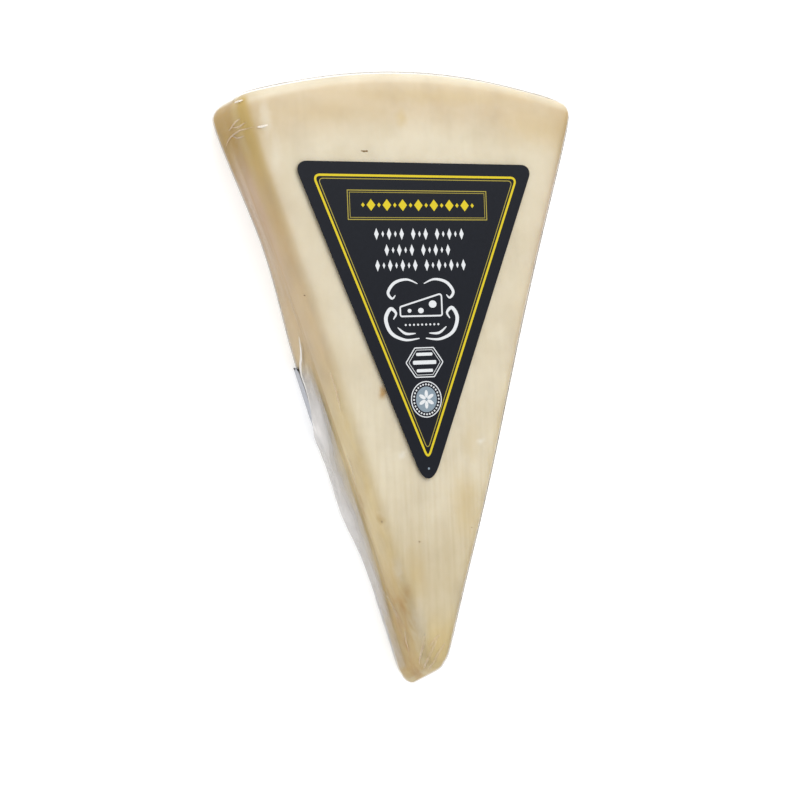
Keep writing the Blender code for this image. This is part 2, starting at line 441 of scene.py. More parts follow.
def crease_share(tree, coords):
    """A net of fine creases on the cut side beside the tip."""
    place = add_node(tree, "ShaderNodeMapping", {"Scale": (1.0, 0.5, 1.0)}, {"Vector": coords})
    pushed = add_node(
        tree, "ShaderNodeTexNoise", {"Scale": 1.0 / (4.0 * MM), "Detail": 3.0}, {"Vector": place.outputs["Vector"]}
    )
    moved = add_node(
        tree, "ShaderNodeVectorMath", {"operation": "MULTIPLY_ADD", 1: (3.0 * MM,) * 3},
        {0: pushed.outputs["Color"], 2: place.outputs["Vector"]},
    )
    cells = add_node(
        tree, "ShaderNodeTexVoronoi", {"feature": "DISTANCE_TO_EDGE", "Scale": 1.0 / (4.2 * MM)},
        {"Vector": moved.outputs["Vector"]},
    )
    lines = add_node(
        tree, "ShaderNodeMapRange", {"From Max": 0.16, "To Min": 0.6, "To Max": 0.0},
        {"Value": cells.outputs["Distance"]},
    )
    return add_node(
        tree, "ShaderNodeMath", {"operation": "MULTIPLY"},
        {0: lines.outputs["Result"], 1: mark_share(tree, coords, CREASED)},
    ).outputs["Value"]


def cheese_material():
    """Young white cheddar, cut with a wire: soft, close and slightly waxy, so light goes a little way in."""
    chosen = settings("cheese_settings")
    material, tree = new_material("white_cheddar")
    coords = add_node(tree, "ShaderNodeTexCoord").outputs["Object"]
    zones = add_node(tree, "ShaderNodeAttribute", {"attribute_name": "zones"})
    along = zones.outputs["Alpha"]
    parts = add_node(tree, "ShaderNodeSeparateColor", links={"Color": zones.outputs["Color"]})
    # The face's colours along its length. The last pale stop, on the rind end's rounding, is partly a painted
    # highlight.
    face = colour_run(tree, along, (
        (0.08, chosen.tip), (0.16, chosen.near_tip), (0.36, chosen.face),
        (0.88, chosen.face), (0.95, chosen.rim), (0.975, chosen.rim), (0.987, chosen.rind),
    ))
    # The cut side's ramp is painted shade, darker and more saturated than the face; the side share (red) lays it
    # over the face.
    side = colour_run(tree, along, (
        (0.04, chosen.side_tip), (0.1, chosen.side_tip), (0.3, chosen.side_low), (0.44, chosen.side_low),
        (0.6, chosen.side), (0.84, chosen.side_high), (0.94, chosen.side_rim),
    ))
    ground = blend_colours(tree, parts.outputs["Red"], face, side)
    clouds = noise_of(tree, coords, 10.0, 4.0)
    ground = blend_colours(tree, 0.11, ground, colour_run(tree, clouds, (
        (0.3, linear("#A08858")), (0.7, linear("#FFFFFF")),
    )), "SOFT_LIGHT")
    wire = noise_of(tree, coords, 1.1, 2.0, (1.0, 0.035, 1.0))
    drawn = add_node(
        tree, "ShaderNodeMapRange",
        {"interpolation_type": "SMOOTHSTEP", "From Min": 0.3, "From Max": 0.6, "To Min": 0.08, "To Max": 0.015},
        {"Value": along},
    ).outputs["Result"]
    ground = blend_colours(tree, drawn, ground, colour_run(tree, wire, (
        (0.35, linear("#9A8450")), (0.65, linear("#FFFFFF")),
    )), "SOFT_LIGHT")
    crumb = noise_of(tree, coords, 1.6)
    ground = blend_colours(tree, 0.03, ground, colour_run(tree, crumb, (
        (0.3, linear("#8A7040")), (0.7, linear("#FFFFFF")),
    )), "SOFT_LIGHT")
    ground = blend_colours(tree, parts.outputs["Blue"], ground, chosen.warm)
    ground = blend_colours(tree, mark_share(tree, coords, WARM), ground, chosen.warm)
    # Green carries the side's crease line: partly browned cheese, partly painted shade in the groove.
    ground = blend_colours(tree, parts.outputs["Green"], ground, chosen.browned)
    # Pale spots: mostly painted highlights, glints and painted light on shaded rounding.
    ground = blend_colours(tree, mark_share(tree, coords, PALE_SPOTS_AND_HIGHLIGHTS), ground, chosen.pale)
    ground = blend_colours(tree, mark_share(tree, coords, BROWNED), ground, chosen.browned)
    ground = blend_colours(tree, crease_share(tree, coords), ground, chosen.dried)
    low = add_node(
        tree, "ShaderNodeBump", {"Strength": 0.25, "Distance": 0.3 * MM},
        {"Height": noise_of(tree, coords, 5.0)},
    )
    fine = add_node(
        tree, "ShaderNodeBump", {"Strength": 0.15, "Distance": 0.1 * MM},
        {"Height": crumb, "Normal": low.outputs["Normal"]},
    )
    shader = add_node(
        tree, "ShaderNodeBsdfPrincipled",
        {
            "Roughness": 0.42, "IOR": 1.46, "Subsurface Weight": 0.15, "Subsurface Scale": 1.5 * MM,
            "Subsurface Radius": (1.0, 0.7, 0.35), "Specular IOR Level": 0.25,
            "Coat Weight": 0.2, "Coat Roughness": 0.18,
        },
        {"Base Color": ground, "Normal": fine.outputs["Normal"]},
    )
    finish_material(tree, shader.outputs["BSDF"])
    return material


def dried_material(name, colour):
    """Cheese that dried to a thin brown skin in a crease or a small hole. Along the side's crease line its brown is
    partly painted shade in the groove.
    """
    material, tree = new_material(name)
    coords = add_node(tree, "ShaderNodeTexCoord").outputs["Object"]
    patches = noise_of(tree, coords, 1.5)
    tone = blend_colours(tree, patches, tuple(0.8 * part for part in colour), tuple(1.2 * part for part in colour))
    shader = add_node(tree, "ShaderNodeBsdfPrincipled", {"Roughness": 0.5}, {"Base Color": tone})
    finish_material(tree, shader.outputs["BSDF"])
    return material


def film_material(name, colour, haze, edge, patches=0.0, clouds=0.0, gloss=0.35):
    """Clear polyolefin shrink film, pulled tight: nearly unseen flat on, pale and glossy edge on. Edge on, the
    Fresnel factor mixes in a flat colour: painted light and shade for the look of film at grazing angles.
    """
    material, tree = new_material(name)
    coords = add_node(tree, "ShaderNodeTexCoord").outputs["Object"]
    slack = add_node(tree, "ShaderNodeAttribute", {"attribute_name": "slack"}).outputs["Fac"]
    pulled = noise_of(tree, coords, 2.6, 4.0, (1.0, 0.16, 1.0))
    folds = add_node(
        tree, "ShaderNodeBump", {"Strength": 0.3, "Distance": 0.2 * MM},
        {"Height": noise_of(tree, coords, 3.5, 4.0, (1.6, 0.7, 1.0))},
    )
    glance = add_node(tree, "ShaderNodeFresnel", {"IOR": 1.5}, {"Normal": folds.outputs["Normal"]})
    share = add_node(
        tree, "ShaderNodeMath", {"operation": "MULTIPLY_ADD", 1: edge, 2: haze}, {0: glance.outputs["Fac"]}
    )
    streaks = add_node(
        tree, "ShaderNodeMapRange", {"From Min": 0.5, "From Max": 0.72, "To Max": patches}, {"Value": pulled}
    )
    milky = add_node(
        tree, "ShaderNodeMapRange", {"From Min": 0.48, "From Max": 0.7, "To Max": clouds},
        {"Value": noise_of(tree, coords, 7.0, 4.0)},
    )
    haze_of_both = add_node(
        tree, "ShaderNodeMath", {"operation": "ADD"}, {0: milky.outputs["Result"], 1: streaks.outputs["Result"]}
    )
    cloudy = add_node(
        tree, "ShaderNodeMath", {"operation": "ADD"}, {0: share.outputs["Value"], 1: haze_of_both.outputs["Value"]}
    )
    cover = add_node(
        tree, "ShaderNodeMath", {"operation": "MULTIPLY", "use_clamp": True}, {0: cloudy.outputs["Value"], 1: slack}
    )
    clear = add_node(tree, "ShaderNodeBsdfTransparent")
    shader = add_node(
        tree, "ShaderNodeBsdfPrincipled",
        {"Base Color": (*colour, 1.0), "Roughness": 0.14, "IOR": 1.5, "Specular IOR Level": gloss},
        {"Normal": folds.outputs["Normal"]},
    )
    both = add_node(
        tree, "ShaderNodeMixShader",
        links={0: cover.outputs["Value"], 1: clear.outputs["BSDF"], 2: shader.outputs["BSDF"]},
    )
    finish_material(tree, both.outputs["Shader"])
    return material


def paper_material(name, colour, grain_mm, roughness):
    """Coated label paper: even and satin. Its tooth is finer than this, and is drawn coarse enough to show."""
    material, tree = new_material(name)
    coords = add_node(tree, "ShaderNodeTexCoord").outputs["Object"]
    grain = noise_of(tree, coords, grain_mm, 4.0)
    tone = blend_colours(tree, grain, tuple(0.75 * part for part in colour), tuple(1.25 * part for part in colour))
    tooth = add_node(
        tree, "ShaderNodeBump", {"Strength": 0.15, "Distance": 0.02 * MM}, {"Height": grain}
    )
    shader = add_node(
        tree, "ShaderNodeBsdfPrincipled", {"Roughness": roughness, "IOR": 1.48, "Specular IOR Level": 0.12},
        {"Base Color": tone, "Normal": tooth.outputs["Normal"]},
    )
    finish_material(tree, shader.outputs["BSDF"])
    return material


# The cheese and its film

# Dried and browned spots: place, size and strength
BROWNED = (
    ((-12.7, -1.6, 26.6), (1.3, 1.7, 3.0), 0.85),
    ((-16.3, -29.5, 17.0), (1.6, 2.0, 1.0), 0.5),
    ((-14.0, -34.1, 25.0), (1.4, 1.1, 2.0), 0.35),
    ((-23.4, -4.6, 14.4), (1.6, 4.0, 0.6), 0.3),
    ((-8.1, -57.4, 21.6), (1.6, 2.4, 1.8), 0.72),
    ((-6.7, -62.0, 16.1), (1.5, 2.8, 1.4), 0.68),
    ((-4.6, -69.0, 15.1), (1.6, 2.4, 1.6), 0.75),
    ((-1.6, -77.2, 13.6), (2.6, 2.4, 2.6), 0.6),
)

# Paler places where the film stands off the edge. Most are painted light: painted highlights and glints on the film,
# and painted light that lifts the shaded rounding beside the tip.
PALE_SPOTS_AND_HIGHLIGHTS = (
    # Painted highlight: the film's sheen at the top left corner.
    ((-40.6, 67.5, 26.6), (1.4, 5.0, 3.0), 0.45),
    ((-38.2, 59.0, 26.6), (1.3, 5.0, 3.0), 0.35),
    # Painted light on the shaded rounding beside the tip.
    ((-10.4, -49.5, 25.6), (1.2, 5.0, 2.4), 0.5),
    ((-4.8, -61.5, 25.5), (1.7, 9.0, 3.0), 0.4),
    # Paler patches on the cut side, where the film stands off.
    ((-35.0, 50.0, 12.0), (3.0, 3.0, 3.0), 0.25),
    ((-33.4, 40.5, 21.0), (3.0, 2.4, 2.4), 0.25),
    ((-38.0, 56.0, 19.0), (3.0, 4.0, 2.6), 0.2),
    # Painted glints on the face.
    ((14.8, -15.6, 26.6), (1.2, 0.8, 2.0), 1.0),
    ((-8.0, -17.7, 26.6), (1.2, 0.8, 2.0), 1.0),
)

# Where the side is creased, beside the tip
CREASED = (
    ((-7.5, -62.0, 18.0), (3.6, 13.0, 7.0), 1.0),
    ((-3.0, -76.0, 15.0), (4.6, 4.4, 8.0), 1.0),
)

# Lines of stains in the creases beside the tip
STAIN_SIZE = (1.0, 1.9, 0.9)
STAIN_STRENGTH = 0.42
STAINED_LINES = (
    ((-9.6, -50.9, 13.5), (-8.6, -54.4, 14.4), (-8.1, -56.9, 16.2), (-8.0, -57.7, 20.0), (-7.2, -60.2, 17.0),
     (-6.4, -62.9, 15.2), (-5.5, -66.0, 14.7), (-4.6, -69.1, 14.3), (-3.3, -73.3, 13.7)),
    ((-7.9, -53.3, 25.5), (-8.3, -55.8, 24.1), (-7.7, -59.0, 19.8)),
    ((-17.4, -26.0, 15.8), (-16.3, -29.5, 16.6), (-15.2, -33.0, 15.8)),
)
BROWNED += tuple((spot, STAIN_SIZE, STAIN_STRENGTH) for line in STAINED_LINES for spot in line)

# Warm yellow patches in the pale face
WARM = (
    ((-3.9, 68.1, 26.6), (1.6, 2.2, 3.0), 0.4),
    ((-24.0, 70.0, 26.6), (18.0, 3.0, 3.0), 0.14),
    ((6.0, 74.0, 26.6), (28.0, 2.0, 3.0), 0.25),
    ((34.0, 66.0, 26.6), (9.0, 5.0, 3.0), 0.24),
    ((9.4, -31.5, 26.6), (4.0, 8.0, 3.0), 0.45),
    ((11.5, -16.0, 26.6), (2.6, 5.0, 3.0), 0.2),
    ((-6.0, -50.0, 26.6), (2.8, 8.0, 3.0), 0.35),
)

# Small specks, and the small hole made of the first three: place and radius
SPECKS = (
    ((-14.7, 59.6, 26.6), 0.34), ((-14.0, 59.65, 26.6), 0.3), ((-15.3, 59.7, 26.6), 0.2),
    ((-4.3, -40.4, 26.6), 0.2), ((-32.1, 23.6, 24.6), 0.24), ((-13.9, -34.6, 25.0), 0.22),
    ((11.0, -38.0, 26.6), 0.14),
)

# Lines where the film is pinched, as spots on it
CORNER_FOLDS = (
    ((-44.9, 62.6, 6.6), (-45.7, 63.9, 11.8), (-46.0, 64.5, 16.2), (-46.0, 64.9, 21.9), (-45.3, 64.9, 25.1),
     (-43.6, 65.2, 26.4)),
    ((-46.4, 65.9, 15.2), (-46.6, 66.9, 20.1), (-46.4, 67.5, 24.2)),
    ((-46.0, 64.6, 15.5), (-45.6, 63.5, 19.8), (-45.4, 63.4, 23.7)),
    ((-46.4, 66.1, 18.6), (-46.2, 65.8, 22.6), (-45.3, 66.5, 25.6)),
)
TIP_FOLDS = (
    ((-2.3, -74.1, 21.4), (-2.6, -69.9, 26.2), (-0.8, -66.1, 26.9)),
    ((-1.8, -74.1, 23.4), (-0.9, -70.3, 26.7), (1.5, -67.2, 26.9)),
    ((-3.1, -73.1, 20.3), (-4.2, -68.6, 24.8), (-3.9, -64.3, 26.5)),
    ((-2.9, -68.0, 26.4), (-1.4, -66.0, 26.9), (0.2, -64.8, 26.9)),
    ((-9.9, -55.0, 12.0), (-8.6, -58.0, 15.0), (-7.4, -61.0, 17.6)),
    ((-6.2, -64.6, 18.6), (-5.4, -67.4, 17.2), (-4.6, -70.4, 16.6)),
)
SIDE_FOLDS = (
    ((-20.0, -17.3, 18.8), (-18.9, -21.2, 18.8), (-17.6, -25.5, 17.8)),
    ((-26.0, 4.3, 24.7), (-24.6, -0.8, 24.5), (-23.2, -6.0, 23.8)),
)
# The side's crease line, drawn brown: partly browned cheese, partly painted shade in the groove.
CREASE_LINE = (
    (-39.3, 43.1, 16.2), (-36.4, 34.0, 15.6), (-33.5, 24.0, 15.2), (-30.2, 13.5, 15.0), (-27.4, 3.6, 14.8),
    (-24.2, -3.0, 14.8), (-22.6, -12.0, 14.8), (-19.6, -21.0, 15.0), (-16.6, -31.0, 15.2), (-13.4, -41.0, 15.5),
    (-10.2, -51.0, 15.8),
)
# A thick fold beside the back label, drawn as a bright line: a painted highlight.
GLINT_BESIDE_LABEL = (
    (-29.6, 13.5, 12.6), (-28.7, 10.5, 11.9), (-28.0, 8.2, 10.7), (-27.5, 5.8, 9.3), (-26.7, 3.0, 8.4),
    (-25.9, 0.3, 8.2), (-25.1, -2.9, 8.2), (-24.6, -5.0, 7.9), (-23.7, -8.3, 5.9),
)
# Short thick folds at the rind's left corner, drawn pale: painted glints.
GLINT_FOLDS = (
    ((-42.9, 65.2, 26.6), (-41.7, 65.3, 26.8), (-40.1, 65.7, 26.8)),
    ((-47.0, 71.7, 21.9), (-46.6, 71.8, 24.6), (-45.8, 71.9, 25.5)),
)


def straight_run(spot):
    """Place between the tip, at 0, and the rind end, at 1, as if the rind end were straight."""
    drop = RIND_RADIUS - math.sqrt(RIND_RADIUS ** 2 - spot.x ** 2)
    return clamp((spot.y + drop * ease((spot.y + 30.0) / 100.0) + 81.0) / 162.0)


def zone_colour(across, along, up, spot):
    """How much a point takes the cut side's painted shade, how browned it is (with painted shade in the side's
    crease), how warm it is, and its place along.
    """
    inwards = min(across, 1.0 - across)
    over_edge = inwards / ROUND_ZONE if inwards > 1e-4 else -(1.0 - up) / ROUND_ZONE
    # Near the tip the side share fades, so the shaded rounding keeps the lighter face colours: painted light against
    # its shade.
    side = 1.0 - ease((over_edge + 0.9 + 1.8 * ease((0.24 - along) / 0.16)) / 2.1)
    near_left = 1.0 - ease((across - 0.005) / 0.08)
    # The brown line in the side's crease: partly browned cheese, partly painted shade in the groove.
    crease = bump(up, CREASE + 0.01, 0.02) * ease((0.9 - along) / 0.15)
    browned = 0.3 * crease * near_left
    warm = 0.85 * near_left * ease((up - 0.6) / 0.3) * (0.08 + 0.92 * ease((along - 0.55) / 0.35))
    return (side, browned, warm, straight_run(spot))


def build_cheese():
    shape, shares = wedge_mesh("cheese", 3)
    zones = shape.verts.layers.float_color.new("zones")
    inset = settings("cheese_settings").inset / MM
    for vert in shape.verts:
        vert.co -= vert.normal * inset
        vert[zones] = zone_colour(*vert[shares], vert.co)
    shape.verts.layers.float_vector.remove(shares)
    cheese = add_piece("cheese", shape, cheese_material())
    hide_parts("wrapped_wedge")


def build_specks():
    """Small dark specks and one small hole in the cheese, flush with it."""
    surface = surface_of("cheese")
    shape = bmesh.new()
    for spot, size in SPECKS:
        here, normal, _, _ = surface.find_nearest(Vector(spot))
        part = bmesh.new()
        bmesh.ops.create_icosphere(part, subdivisions=2, radius=size)
        bmesh.ops.scale(part, verts=part.verts, vec=(1.3, 0.8, 0.3))
        turn = Vector((0.0, 0.0, 1.0)).rotation_difference(normal)
        bmesh.ops.rotate(part, verts=part.verts, matrix=turn.to_matrix())
        bmesh.ops.translate(part, verts=part.verts, vec=here)
        join(shape, part)
    material = dried_material("browned_cheddar", settings("cheese_settings").speck)
    add_piece("specks", shape, material)


def build_film():
    """The tight film. Its slack is how much it shows: more on the cut sides than on the face."""
    chosen = settings("film_settings")
    shape, shares = wedge_mesh("film", 2)
    slack = shape.verts.layers.float.new("slack")
    for vert in shape.verts:
        across, along, _ = vert[shares]
        on_side = 1.0 - ease((min(across, 1.0 - across) - 0.01) / 0.08)
        corner = ease((along - 0.84) / 0.12)
        # More slack on the cut sides lets more of the painted edge tint show there.
        vert[slack] = 0.5 + (0.3 - 0.25 * corner) * on_side
    shape.verts.layers.float_vector.remove(shares)
    material = film_material("clear_shrink_film", chosen.tint, chosen.haze, 0.6, patches=0.1, clouds=0.1, gloss=0.15)
    film = add_piece("film", shape, material)
    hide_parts("wrapped_wedge")


def add_ridge(shape, surface, spots, width, height, steps=20, slackness=1.0):
    """A pinched line of film that tapers to nothing at both ends."""
    spots = [Vector(spot) for spot in spots]
    part = bmesh.new()
    bmesh.ops.create_cube(part, size=1.0)
    for axis, cuts in ((0, steps), (1, 5)):
        edges = [e for e in part.edges if abs(e.verts[0].co[axis] - e.verts[1].co[axis]) > 1e-6]
        bmesh.ops.subdivide_edges(part, edges=edges, cuts=cuts, use_grid_fill=True)
    for vert in part.verts:
        share, beside, high = vert.co.x + 0.5, vert.co.y, vert.co.z > 0.0
        here, normal, _, _ = surface.find_nearest(on_line(spots, share))
        ahead = on_line(spots, min(share + 0.02, 1.0)) - on_line(spots, max(share - 0.02, 0.0))
        aside = normal.cross(ahead).normalized()
        taper = max(math.sin(math.pi * clamp(share, 0.02, 0.98)), 0.06) ** 0.6
        rise = height * taper * math.cos(math.pi * beside) ** 2 if high else -0.05
        vert.co = here + aside * width * beside * taper + normal * rise
    slack = part.verts.layers.float.new("slack")
    for vert in part.verts:
        vert[slack] = slackness
    bmesh.ops.recalc_face_normals(part, faces=part.faces)
    join(shape, part)


def build_folds():
    """Pinched lines in the film, pale folds with painted glints, and the dried creases under them, whose brown is
    partly painted shade in the groove.
    """
    chosen = settings("film_settings")
    surface = surface_of("film")
    clear = bmesh.new()
    for spots in CORNER_FOLDS:
        add_ridge(clear, surface, spots, width=0.42, height=0.16)
    for spots in TIP_FOLDS + SIDE_FOLDS:
        add_ridge(clear, surface, spots, width=0.7, height=0.06, slackness=0.8)
    material = film_material("pinched_film", chosen.fold, 0.13, 0.35)
    add_piece("film_folds", clear, material)
    # Thick folds drawn in a pale colour: painted glints, and a painted highlight line beside the back label.
    bright = bmesh.new()
    for spots in GLINT_FOLDS:
        add_ridge(bright, surface, spots, width=0.6, height=0.05, slackness=0.55)
    add_ridge(bright, surface_of("film_overlap"), GLINT_BESIDE_LABEL, width=0.9, height=0.2, steps=60)
    material = film_material("film_fold_painted_glint", chosen.glint, 0.5, 0.4, gloss=0.15)
    add_piece("film_fold_painted_glints", bright, material)
    brown = bmesh.new()
    # The crease line's brown is partly painted shade in the groove.
    add_ridge(brown, surface_of("cheese"), CREASE_LINE, width=0.5, height=0.05, steps=90)
    material = dried_material("crease_brown_and_shade", settings("cheese_settings").dried)
    add_piece("crease_line_brown_and_shade", brown, material)


def build_fins():
    """Film that stands off the wedge: loose at the rind's corners, and as a low seam round its edges."""
    chosen = settings("film_settings")
    surface = surface_of("film")
    loose = bmesh.new()
    for spots in (
        ((-48.2, 72.7, 21), (-43.7, 74.0, 21), (-39.2, 75.2, 21), (-35.7, 76.3, 21), (-31.6, 77.3, 21)),
        ((37.0, 76.9, 21), (40.5, 76.3, 21), (44.0, 75.0, 21)),
    ):
        add_ridge(loose, surface, spots, width=0.25, height=0.8)
    material = film_material("loose_film", chosen.tint, 0.14, 0.3)
    add_piece("film_fins", loose, material)
    # Low seams along the rind end and right edge, their dark grey painted shade for the film's grey outline edge on.
    seams = bmesh.new()
    rind_end = [form(0.06 + 0.88 * step / 16, 1.0, 0.88) for step in range(17)]
    right_edge = [form(1.0, 0.92 - 0.8 * step / 24, 0.92) for step in range(25)]
    add_ridge(seams, surface, rind_end, width=0.3, height=0.32, steps=120)
    add_ridge(seams, surface, right_edge, width=0.3, height=0.24, steps=160)
    material = film_material("film_seam_edge_shade", chosen.seam, 0.34, 0.3, gloss=0.04)
    add_piece("film_seams", seams, material)


def build_overlap():
    """Doubled film along the left back edge, from beside the back label to the tip. Its whitish haze is partly a
    painted reflection of the bright surroundings.
    """
    chosen = settings("film_settings")
    film = surface_of("film")
    shape = bmesh.new()
    slack = shape.verts.layers.float.new("slack")
    bmesh.ops.create_grid(shape, x_segments=120, y_segments=24, size=0.5)
    for vert in shape.verts:
        along = 0.05 + 0.54 * (vert.co.x + 0.5)
        share = vert.co.y + 0.5
        top = 0.485 - 0.16 * ease((0.24 - along) / 0.16)
        low = -0.12 + 0.415 * ease((along - 0.39) / 0.085)
        low += (top - low) * ease((along - 0.51) / 0.08) * 0.98
        up = low + (top - low) * share
        across = 0.0
        if up < 0.0:
            across = -0.6 * up
            up = 0.0
        here = form(across, along, up, 0.0)
        out = Vector((-1.0, 0.28, 0.0)) if up > 0.1 else Vector((-1.0, 0.28, -1.5 * (1.0 - up / 0.1)))
        out.normalize()
        lift = 0.10 + 0.25 * math.sin(math.pi * share) * ease((0.57 - along) / 0.1) * ease((along - 0.1) / 0.12)
        ripple = 0.10 * math.sin(0.9 * here.y + 3.0 * share) * math.sin(0.37 * here.y + 5.0 * share)
        vert.co = here + out * (lift + ripple * math.sin(math.pi * share))
        here, normal, _, _ = film.find_nearest(vert.co)
        vert.co += normal * max(FILM_GAP - (vert.co - here).dot(normal), 0.0)
        vert.co.z = max(vert.co.z, FLOOR_GAP)
        ends = ease((along - 0.07) / 0.05) * (0.3 + 0.7 * ease((along - 0.13) / 0.1))
        # How white the band is along its length: partly haze, partly painted reflection.
        haze_and_sheen = bump(along, 0.445, 0.03) + 0.6 * bump(along, 0.315, 0.035) - 0.8 * ease((along - 0.49) / 0.05)
        vert[slack] = (0.3 + 0.7 * ease((1.0 - share) / 0.35)) * ends * (0.54 + 0.64 * haze_and_sheen)
    bmesh.ops.recalc_face_normals(shape, faces=shape.faces)
    material = film_material("doubled_film_haze_and_sheen", chosen.overlap, 0.6, 0.3, patches=0.25, clouds=0.12)
    overlap = add_piece("film_overlap", shape, material)
    wall = overlap.modifiers.new("film", "SOLIDIFY")
    wall.thickness = 0.06 * MM
    wall.offset = 1.0


# The labels and their print

def cut_outline(shape, corners, radii):
    """A flat face with rounded corners."""
    made = bmesh.ops.create_circle(shape, cap_ends=True, radius=1.0, segments=len(corners))
    verts = made["verts"]
    for vert, (x, y) in zip(verts, corners):
        vert.co = (x, y, 0.0)
    for vert, radius in zip(verts, radii):
        if radius > 0.0:
            first, second = [(edge.other_vert(vert).co - vert.co) for edge in vert.link_edges]
            half = 0.5 * first.angle(second)
            bmesh.ops.bevel(
                shape, geom=[vert], affect="VERTICES", offset_type="OFFSET",
                offset=radius / math.tan(half), segments=8, profile=0.5, material=-1,
            )
    shape.faces.ensure_lookup_table()
    return shape.faces[-1]


def add_loop(shape, corners, radii, width):
    """A closed line with rounded corners, its width inside the corners."""
    part = bmesh.new()
    face = cut_outline(part, corners, radii)
    bmesh.ops.inset_region(
        part, faces=[face], thickness=width, depth=0.0, use_even_offset=True, use_boundary=True,
    )
    bmesh.ops.delete(part, geom=[face], context="FACES")
    join(shape, part)


def add_field(shape, corners, radii):
    """A flat shape with rounded corners."""
    part = bmesh.new()
    cut_outline(part, corners, radii)
    join(shape, part)


def join(shape, part):
    """Adds one finished shape to another."""
    mesh = bpy.data.meshes.new("part of a print")
    part.to_mesh(mesh)
    part.free()
    shape.from_mesh(mesh)
    bpy.data.meshes.remove(mesh)


def box_corners(x, y, width, height):
    return (
        (x - 0.5 * width, y - 0.5 * height), (x + 0.5 * width, y - 0.5 * height),
        (x + 0.5 * width, y + 0.5 * height), (x - 0.5 * width, y + 0.5 * height),
    )


def oval_corners(x, y, width, height, count=40):
    turns = [math.tau * i / count for i in range(count)]
    return [(x + 0.5 * width * math.cos(t), y + 0.5 * height * math.sin(t)) for t in turns]


def label_corners(inside):
    """The label's three corners, moved in by a margin."""
    slant = math.hypot(0.5 * LABEL_WIDTH, LABEL_HEIGHT)
    reach = LABEL_WIDTH * LABEL_HEIGHT / (LABEL_WIDTH + 2.0 * slant)
    share = (reach - inside) / reach
    corners = ((-0.5 * LABEL_WIDTH, 0.0), (0.0, -LABEL_HEIGHT), (0.5 * LABEL_WIDTH, 0.0))
    return [(x * share, -reach + (y + reach) * share) for x, y in corners]


def add_stroke(shape, spots, width, mirrored=False):
    """A curved stroke, thin at its ends."""
    spots = [Vector((-x - 0.6 if mirrored else x, y, 0.0)) for x, y in spots]
    part = bmesh.new()
    bmesh.ops.create_grid(part, x_segments=40, y_segments=1, size=0.5)
    for vert in part.verts:
        share, beside = vert.co.x + 0.5, vert.co.y
        ahead = on_line(spots, min(share + 0.01, 1.0)) - on_line(spots, max(share - 0.01, 0.0))
        aside = Vector((-ahead.y, ahead.x, 0.0)).normalized()
        full = width * (0.25 + 0.75 * math.sin(math.pi * share))
        vert.co = on_line(spots, share) + aside * full * 2.0 * beside
    bmesh.ops.recalc_face_normals(part, faces=part.faces)
    if part.faces[:] and sum(face.normal.z for face in part.faces) < 0.0:
        bmesh.ops.reverse_faces(part, faces=part.faces)
    join(shape, part)


def print_on_label(name, shape, colour, ink=INK):
    """Gives flat print its thickness and puts it on the front label."""
    raised = bmesh.ops.extrude_face_region(shape, geom=shape.faces[:])
    top = [item for item in raised["geom"] if isinstance(item, bmesh.types.BMVert)]
    bmesh.ops.translate(shape, verts=top, vec=(0.0, 0.0, ink))
    bmesh.ops.recalc_face_normals(shape, faces=shape.faces)
    place = Matrix.Translation(LABEL_SPOT - Vector((0.0, 0.0, 0.02))) @ Matrix.Rotation(LABEL_TURN, 4, "Z")
    bmesh.ops.transform(shape, matrix=place, verts=shape.verts)
    return add_piece(name, shape, paper_material(name, colour, 0.3, 0.38), smooth=False)


def build_yellow_print():
    chosen = settings("label_settings")
    shape = bmesh.new()
    y = FRAME_ROW
    add_loop(shape, label_corners(3.15), (1.5, 1.1, 1.5), 0.58)
    for step in range(-7, 8):
        x = -0.1 + 2.2 * step
        size = 3.0 if step % 2 == 0 else 1.2
        corners = ((x - 0.4 * size, y), (x, y - 0.5 * size), (x + 0.4 * size, y), (x, y + 0.5 * size))
        add_field(shape, corners, (0.0,) * 4)
    print_on_label("yellow_print", shape, chosen.yellow)
    thin = bmesh.new()
    add_loop(thin, label_corners(4.2), (1.0, 0.8, 1.0), 0.2)
    add_loop(thin, box_corners(-0.1, y, 39.3, 7.6), (0.0,) * 4, 0.22)
    add_loop(thin, box_corners(-0.1, y, 38.1, 6.5), (0.0,) * 4, 0.14)
    print_on_label("thin_yellow_print", thin, chosen.thin_yellow)


